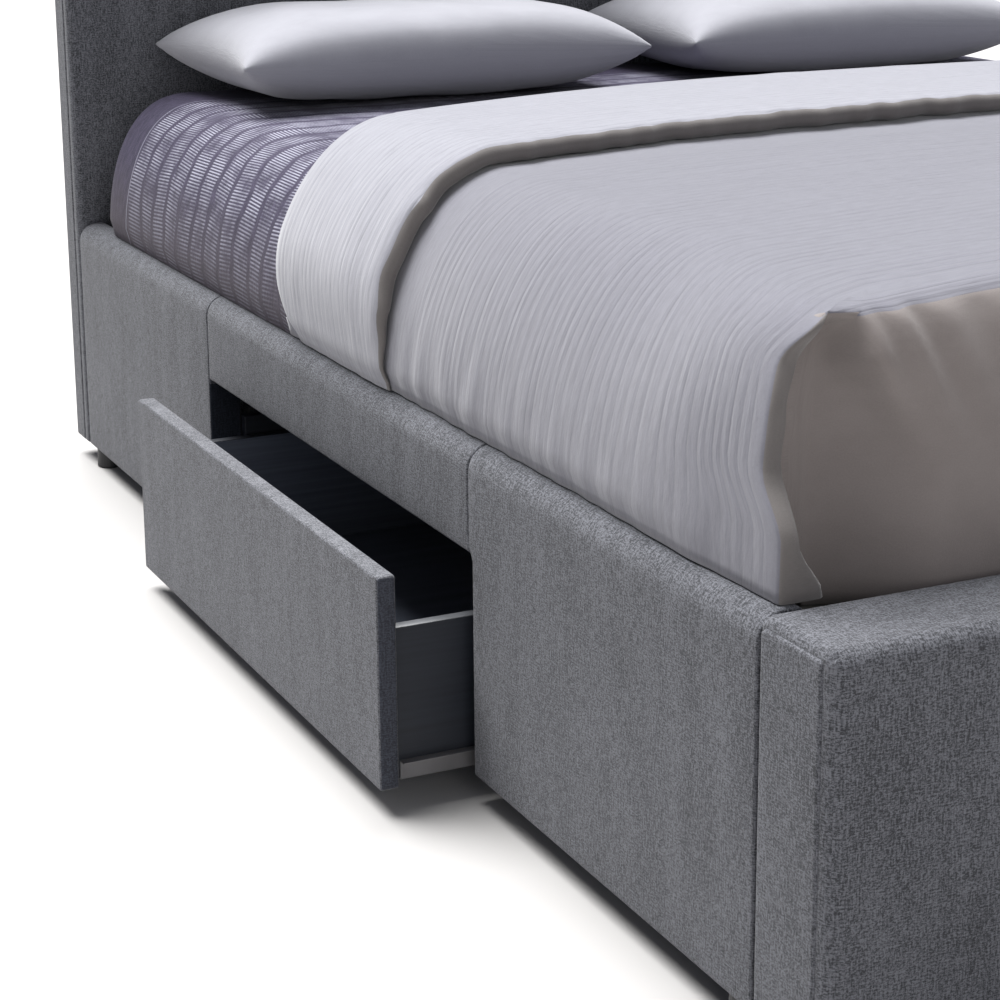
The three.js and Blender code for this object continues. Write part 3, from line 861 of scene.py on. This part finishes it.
def duvet_body():
    """Duvet from under its folded-back flap to the foot, with an open tuck at each foot corner."""
    rows = 150
    columns = 110
    levels = 34
    spread = 0.45 * math.pi
    head_y = FOLD_Y - 12 * MM
    widest = math.sin(spread)
    xs = [TOP_HALF_WIDTH * math.sin(spread * (2 * i / columns - 1)) / widest for i in range(columns + 1)]
    ys = [head_y + (FOOT_ROLL - head_y) * j / rows for j in range(rows + 1)]
    points = []
    uvs = []
    faces = []
    for y in ys:
        for x in xs:
            points.append((x, y, top_height(x, y)))
            uvs.append((x, y))

    def top(i, j):
        return j * (columns + 1) + i

    perimeter = []
    for j in range(rows + 1):
        perimeter.append((top(0, j), "side", -1, j / rows))
    for k in range(CORNER_COUNT):
        perimeter.append((top(0, rows), "corner", -1, k))
    for i in range(columns + 1):
        perimeter.append((top(i, rows), "foot", 0, 0))
    for k in reversed(range(CORNER_COUNT)):
        perimeter.append((top(columns, rows), "corner", 1, k))
    for j in range(rows, -1, -1):
        perimeter.append((top(columns, j), "side", 1, j / rows))

    skirts = []
    for start, kind, sign, place in perimeter:
        edge = points[start]
        lead = edge[1]
        if kind == "side":
            bulge = SIDE_BULGE + (CORNER_BULGE - SIDE_BULGE) * smooth(place, 0.85, 1.0)
            hem = (sign * bulge, edge[1] - 80 * MM * smooth(place, 0.7, 1.0))
        elif kind == "corner":
            hem = (sign * CORNER_BULGE, FOOT_BULGE)
            lead = edge[1] - 2 * MM * (place + 1)
        else:
            hem = (edge[0] * 1.14, FOOT_BULGE)
        column = [start]
        for level, point in enumerate(duvet_column(edge, hem, kind, levels, place), 1):
            column.append(len(points))
            points.append(point)
            travelled = 0.32 * level / levels
            if kind == "foot":
                uvs.append((edge[0], edge[1] - travelled))
            else:
                uvs.append((sign * (TOP_HALF_WIDTH + travelled), lead))
        skirts.append((column, kind, place))
    for i in range(columns):
        for j in range(rows):
            faces.append((top(i, j), top(i, j + 1), top(i + 1, j + 1), top(i + 1, j)))
    facing = []
    foot = []
    for (left, kind, place), (right, next_kind, next_place) in zip(skirts, skirts[1:]):
        for level in range(levels):
            quad = [left[level], left[level + 1], right[level + 1], right[level]]
            if quad[0] == quad[3]:
                quad = quad[:3]
            part = skirt_part((kind, place), (next_kind, next_place))
            rim = CORNER_RIM if "corner" in (kind, next_kind) else FOOT_RIM
            # Facing strips take the darker turned-back cloth, partly painted shade.
            if level > rim and part == "facing":
                facing.append(len(faces))
            if level > rim and part == "foot":
                foot.append(len(faces))
            faces.append(tuple(quad))
    obj = new_object("duvet_body", points, faces, "duvet_fabric", uvs)
    # The facing takes the darker turned-back cloth, painted shade, and the foot panel the warm beige cloth,
    # painted bounce light.
    for slot, (material, chosen) in enumerate((("duvet_reverse_and_painted_shade", facing), ("duvet_foot_painted_light", foot)), 1):
        obj.data.materials.append(MATERIALS[material])
        for index in chosen:
            obj.data.polygons[index].material_index = slot
    outward(obj)
    thicken(obj, 3 * MM)
    settle(obj, "frame", ["duvet"])
    return obj


def thicken(obj, thickness):
    """Gives a cloth surface its back, inwards."""
    solid = obj.modifiers.new("thickness", "SOLIDIFY")
    solid.thickness = thickness
    solid.offset = -1
    solid.thickness_clamp = 1.0
    solid.use_rim = True


def settle(obj, body, nodes):
    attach(obj, body)
    if nodes:
        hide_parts(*nodes)


def girth(share):
    """Point and outward direction on the duvet's cross-section, for share from -1 (left hem) to 1."""
    sign = -1 if share < 0 else 1
    side_share = 0.3
    size = abs(share)
    if size <= 1 - side_share:
        x = TOP_HALF_WIDTH * size / (1 - side_share)
        z = TOP_HEIGHT - (TOP_HEIGHT - EDGE_HEIGHT) * (x / TOP_HALF_WIDTH) ** 2.6
    else:
        out, down = fall((size - 1 + side_share) / side_share)
        z = EDGE_HEIGHT - (EDGE_HEIGHT - WIDEST_HEIGHT) * down
        x = TOP_HALF_WIDTH + (SIDE_BULGE - TOP_HALF_WIDTH) * out - hem_tuck(z)
    return sign * x, z


def girth_frame(share):
    x, z = girth(share)
    x0, z0 = girth(max(-1, share - 0.004))
    x1, z1 = girth(min(1, share + 0.004))
    tangent = Vector((x1 - x0, z1 - z0)).normalized()
    return x, z, -tangent[1], tangent[0]


def duvet_flap():
    """Folded-back end of the duvet: a second layer with a thick, slightly wavy hem and a soft fold."""
    count = 300
    hem = [(26, -1), (12, 0.5), (4, 2), (-2, 6), (-5, 12), (-4, 18), (1, 23), (9, 25.5)]
    fold = [(-16, 25.5), (-4, 23.5), (6, 18), (12, 9), (14, -2), (11, -13), (3, -22), (-10, -27)]
    middle = 26
    flat_length = 2 * 0.98
    points = []
    uvs = []
    section = len(hem) + middle + len(fold)
    for k in range(count + 1):
        share = 2 * k / count - 1
        x, z, normal_x, normal_z = girth_frame(share)
        girth_length = share * flat_length / 2
        scallop = abs(wave(girth_length, 0, 0, 0.055, 8.8)) ** 0.7
        ripple = 13 * MM * scallop + 6 * MM * wave(girth_length, 0, 0, 0.25, 3.3)
        bend = 8 * MM * wave(girth_length, 0, 0, 0.4, 1.1) - 62 * MM * (1 - smooth(z, 0.39, 0.50)) ** 2
        lines = [(FLAP_HEM_Y + ripple + a * MM, b * MM) for a, b in hem]
        start = lines[-1][0]
        stop = FOLD_Y + bend + fold[0][0] * MM
        for m in range(1, middle + 1):
            part = m / (middle + 1)
            puff = 3.5 * MM * math.sin(math.pi * part) ** 0.5
            y = start + (stop - start) * part
            soft = 1.6 * MM * wave(girth_length, 1.6 * y, 0, 0.09, 7.7)
            lines.append((y, 25.5 * MM + puff + soft))
        lines += [(FOLD_Y + bend + a * MM, b * MM) for a, b in fold]
        slack = 0.15 + 0.85 * smooth(z, 0.395, 0.53)
        for m, (y, lift) in enumerate(lines):
            lift = lift * slack if lift > 0 else lift
            lift += 0.5 * side_puckers(y, z) if abs(x) > TOP_HALF_WIDTH else 0.0
            if m < len(hem):
                lift += 1.8 * MM * wave(girth_length, y, 0, 0.022, 4.2)
            points.append((x + normal_x * lift, y, z + normal_z * lift))
            uvs.append((girth_length, y + 0.4 * RIB_PITCH * (m / section)))
    faces = []
    for k in range(count):
        for m in range(section - 1):
            a = k * section + m
            faces.append((a, a + 1, a + section + 1, a + section))
    obj = new_object("duvet_flap", points, faces, "duvet_flap", uvs)
    # The hem takes the darker turned-back cloth, partly painted shade.
    assign(obj, "duvet_reverse_and_painted_shade", lambda polygon: polygon.index % (section - 1) < len(hem) - 2)
    outward(obj)
    thicken(obj, 2 * MM)
    settle(obj, "frame", [])
    return obj


def round_off(y, end, radius):
    """How far an outline has turned in at y, on a quarter circle that finishes at end."""
    along = max(0.0, min(0.97 * radius, y - (end - radius)))
    return radius - math.sqrt(radius ** 2 - along ** 2)


def coverlet():
    """Coverlet over the head half of the mattress, falling inside the rails and round the head corners."""
    rows = 90
    half = 70
    start_y = FOLD_Y - 25 * MM
    end_y = COVERLET_HEAD
    side_x = 0.813
    top_z = 0.606
    edge_x = 0.67
    points = []
    uvs = []
    for j in range(rows + 1):
        y = start_y + (end_y - start_y) * j / rows
        inset = round_off(y, end_y, COVERLET_CORNER)
        head_drop = 0.5 * round_off(y, end_y + 10 * MM, 75 * MM)
        for i in range(-half, half + 1):
            sign = -1 if i < 0 else 1
            size = abs(i) / half
            if size <= 0.62:
                x = (edge_x - inset) * size / 0.62
                z = top_z - head_drop + 1.5 * MM * wave(x * sign, y, 0, 0.2, 2.0)
                length = x
            else:
                t = (size - 0.62) / 0.38
                out, down = fall(t, 0.7)
                z = top_z - head_drop - (top_z - head_drop - WIDEST_HEIGHT) * down
                drape = 3.2 * MM * wave(y, 0.3 * z, 0, 0.07, 4.4) * smooth(down, 0.1, 0.6)
                drape *= 1 - smooth(down, 0.85, 1)
                x = edge_x + (side_x - edge_x) * out + drape - hem_tuck(z) - inset
                length = edge_x + 0.26 * t
            points.append((sign * x, y, z))
            uvs.append((sign * length, y))
    width = 2 * half + 1
    faces = []
    for j in range(rows):
        for i in range(width - 1):
            a = j * width + i
            faces.append((a, a + 1, a + width + 1, a + width))
    obj = new_object("coverlet_cloth", points, faces, "coverlet_fabric", uvs)
    if obj.data.polygons[len(faces) // 2].normal.z < 0:
        obj.data.flip_normals()
    thicken(obj, 3.5 * MM)
    settle(obj, "frame", ["coverlet"])
    return obj


def mattress():
    """Mattress in its cover, a little shorter than its node at both ends so the bedding clears it."""
    low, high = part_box("mattress")
    low[1] += 10 * MM
    high[1] -= 10 * MM
    upright = corner_radii(75 * MM, lh=110 * MM, hh=110 * MM)
    points, faces = block(low, high, corner_radii(75 * MM), corner_radii(60 * MM), upright, 40 * MM)
    obj = new_object("mattress_cover", points, faces, "mattress_fabric")
    outward(obj)
    metric_uv(obj)
    settle(obj, "frame", ["mattress"])
    return obj


def pillow(side):
    """Pillow case: two sheets sewn round their edges and blown up by its filling."""
    low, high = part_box(f"{side}_pillow")
    centre = (low + high) / 2
    size = high - low
    nx, ny = 46, 30
    points = []
    uvs = []
    index = {}
    faces = []
    for face in (1, -1):
        for i in range(nx + 1):
            for j in range(ny + 1):
                u = 2 * i / nx - 1
                v = 2 * j / ny - 1
                rim = i in (0, nx) or j in (0, ny)
                key = (i, j, 0 if rim else face)
                if key not in index:
                    dome = (1 - u ** 4) * (1 - v ** 4)
                    pinch = 1 - 0.07 * (1 - abs(u) ** 2) * abs(v) ** 3
                    tuck = 1 - 0.09 * (1 - abs(v) ** 2) * abs(u) ** 3
                    x = u * size[0] / 2 * 0.97 * tuck
                    y = v * size[1] / 2 * 0.97 * pinch
                    crease = 6 * MM * wave(x, y, face, 0.11, 3.0 if side == "left" else 8.0) * dome
                    z = face * (size[2] * 0.42 * dome ** 0.55) + crease
                    index[key] = len(points)
                    points.append((centre[0] + x, centre[1] + y, centre[2] - 6 * MM + z))
                    uvs.append((x + face, y))
        for i in range(nx):
            for j in range(ny):
                quad = []
                for di, dj in ((0, 0), (1, 0), (1, 1), (0, 1)):
                    a, b = i + di, j + dj
                    rim = a in (0, nx) or b in (0, ny)
                    quad.append(index[(a, b, 0 if rim else face)])
                faces.append(tuple(quad))
    obj = new_object(f"{side}_pillow_case", points, faces, "pillow_fabric", uvs)
    outward(obj)
    finer = obj.modifiers.new("finer", "SUBSURF")
    finer.levels = finer.render_levels = 1
    settle(obj, "frame", [f"{side}_pillow"])
    return obj


# ---------------------------------------------------------------- frame nodes that stay


def finish_nodes():
    """Materials and softened edges on the CAD pieces that are shown as they are."""
    slots = {entry["node"]: entry["material_slot"] for entry in frame["record"]["subparts"]}
    for name, obj in NODES.items():
        material = slots[name]
        # Boards inside the drawers take the lighter laminate: painted light in the shadowed cavity.
        if name.endswith(("drawer_base", "drawer_back", "drawer_side_head")):
            material = "inner_laminate_and_painted_light"
        # Ledges take the near-black frame wood: painted shade inside the bed.
        if name.endswith("ledge"):
            material = "frame_wood"
        obj.data.materials.clear()
        obj.data.materials.append(MATERIALS[material])
        if slots[name] in ("slat_wood", "frame_wood", "dark_laminate"):
            weld = obj.modifiers.new("weld", "WELD")
            weld.merge_threshold = 0.01 * MM
            bevel = obj.modifiers.new("bevel", "BEVEL")
            bevel.width = 0.8 * MM
            bevel.segments = 2
            bevel.limit_method = "ANGLE"


# ---------------------------------------------------------------- stage, lights, camera


def floor():
    size = 30
    mesh = bpy.data.meshes.new("floor")
    corners = [(-size, -size, 0), (size, -size, 0), (size, size, 0), (-size, size, 0)]
    mesh.from_pydata(corners, [], [(0, 1, 2, 3)])
    obj = bpy.data.objects.new("floor", mesh)
    bpy.context.scene.collection.objects.link(obj)
    material, _, shader = new_material("studio_floor")
    shader.inputs["Base Color"].default_value = (0.43, 0.42, 0.411, 1)
    shader.inputs["Roughness"].default_value = 0.9
    mesh.materials.append(material)


def lights():
    world = bpy.data.worlds.new("studio")
    bpy.context.scene.world = world
    world.use_nodes = True
    sky = world.node_tree.nodes["Background"]
    sky.inputs["Color"].default_value = (0.88, 0.92, 1.06, 1)
    sky.inputs["Strength"].default_value = 0.22
    for name, energy, angle, direction in (
        ("softbox", 9.0, 45, (0.1, -0.4, -0.91)),
        ("fill", 0.9, 40, (0.06, 0.96, -0.25)),
    ):
        data = bpy.data.lights.new(name, "SUN")
        data.energy = energy
        data.angle = math.radians(angle)
        obj = bpy.data.objects.new(name, data)
        obj.rotation_mode = "QUATERNION"
        obj.rotation_quaternion = Vector(direction).to_track_quat("-Z", "Y")
        bpy.context.scene.collection.objects.link(obj)


def camera():
    yaw, pitch, roll = (math.radians(a) for a in (CAMERA_YAW, CAMERA_PITCH, CAMERA_ROLL))
    forward = Vector((math.sin(yaw) * math.cos(pitch), math.cos(yaw) * math.cos(pitch), -math.sin(pitch)))
    level = Vector((math.cos(yaw), -math.sin(yaw), 0))
    upright = level.cross(forward)
    right = math.cos(roll) * level + math.sin(roll) * upright
    up = -math.sin(roll) * level + math.cos(roll) * upright
    data = bpy.data.cameras.new("camera")
    data.sensor_width = 36
    data.lens = CAMERA_LENS
    data.shift_y = CAMERA_SHIFT_Y
    obj = bpy.data.objects.new("camera", data)
    turn = Matrix((right, up, -forward)).transposed().to_4x4()
    obj.matrix_world = Matrix.Translation(CAMERA_PLACE) @ turn
    bpy.context.scene.collection.objects.link(obj)
    bpy.context.scene.camera = obj


camera()
lights()
floor()
finish_nodes()
rail_pads()
drawer_fronts()
footboard()
headboard()
edge_bands()
mattress()
duvet_body()
duvet_flap()
coverlet()
for side_name, _ in SIDES:
    pillow(side_name)
bpy.context.scene.view_settings.view_transform = "Standard"
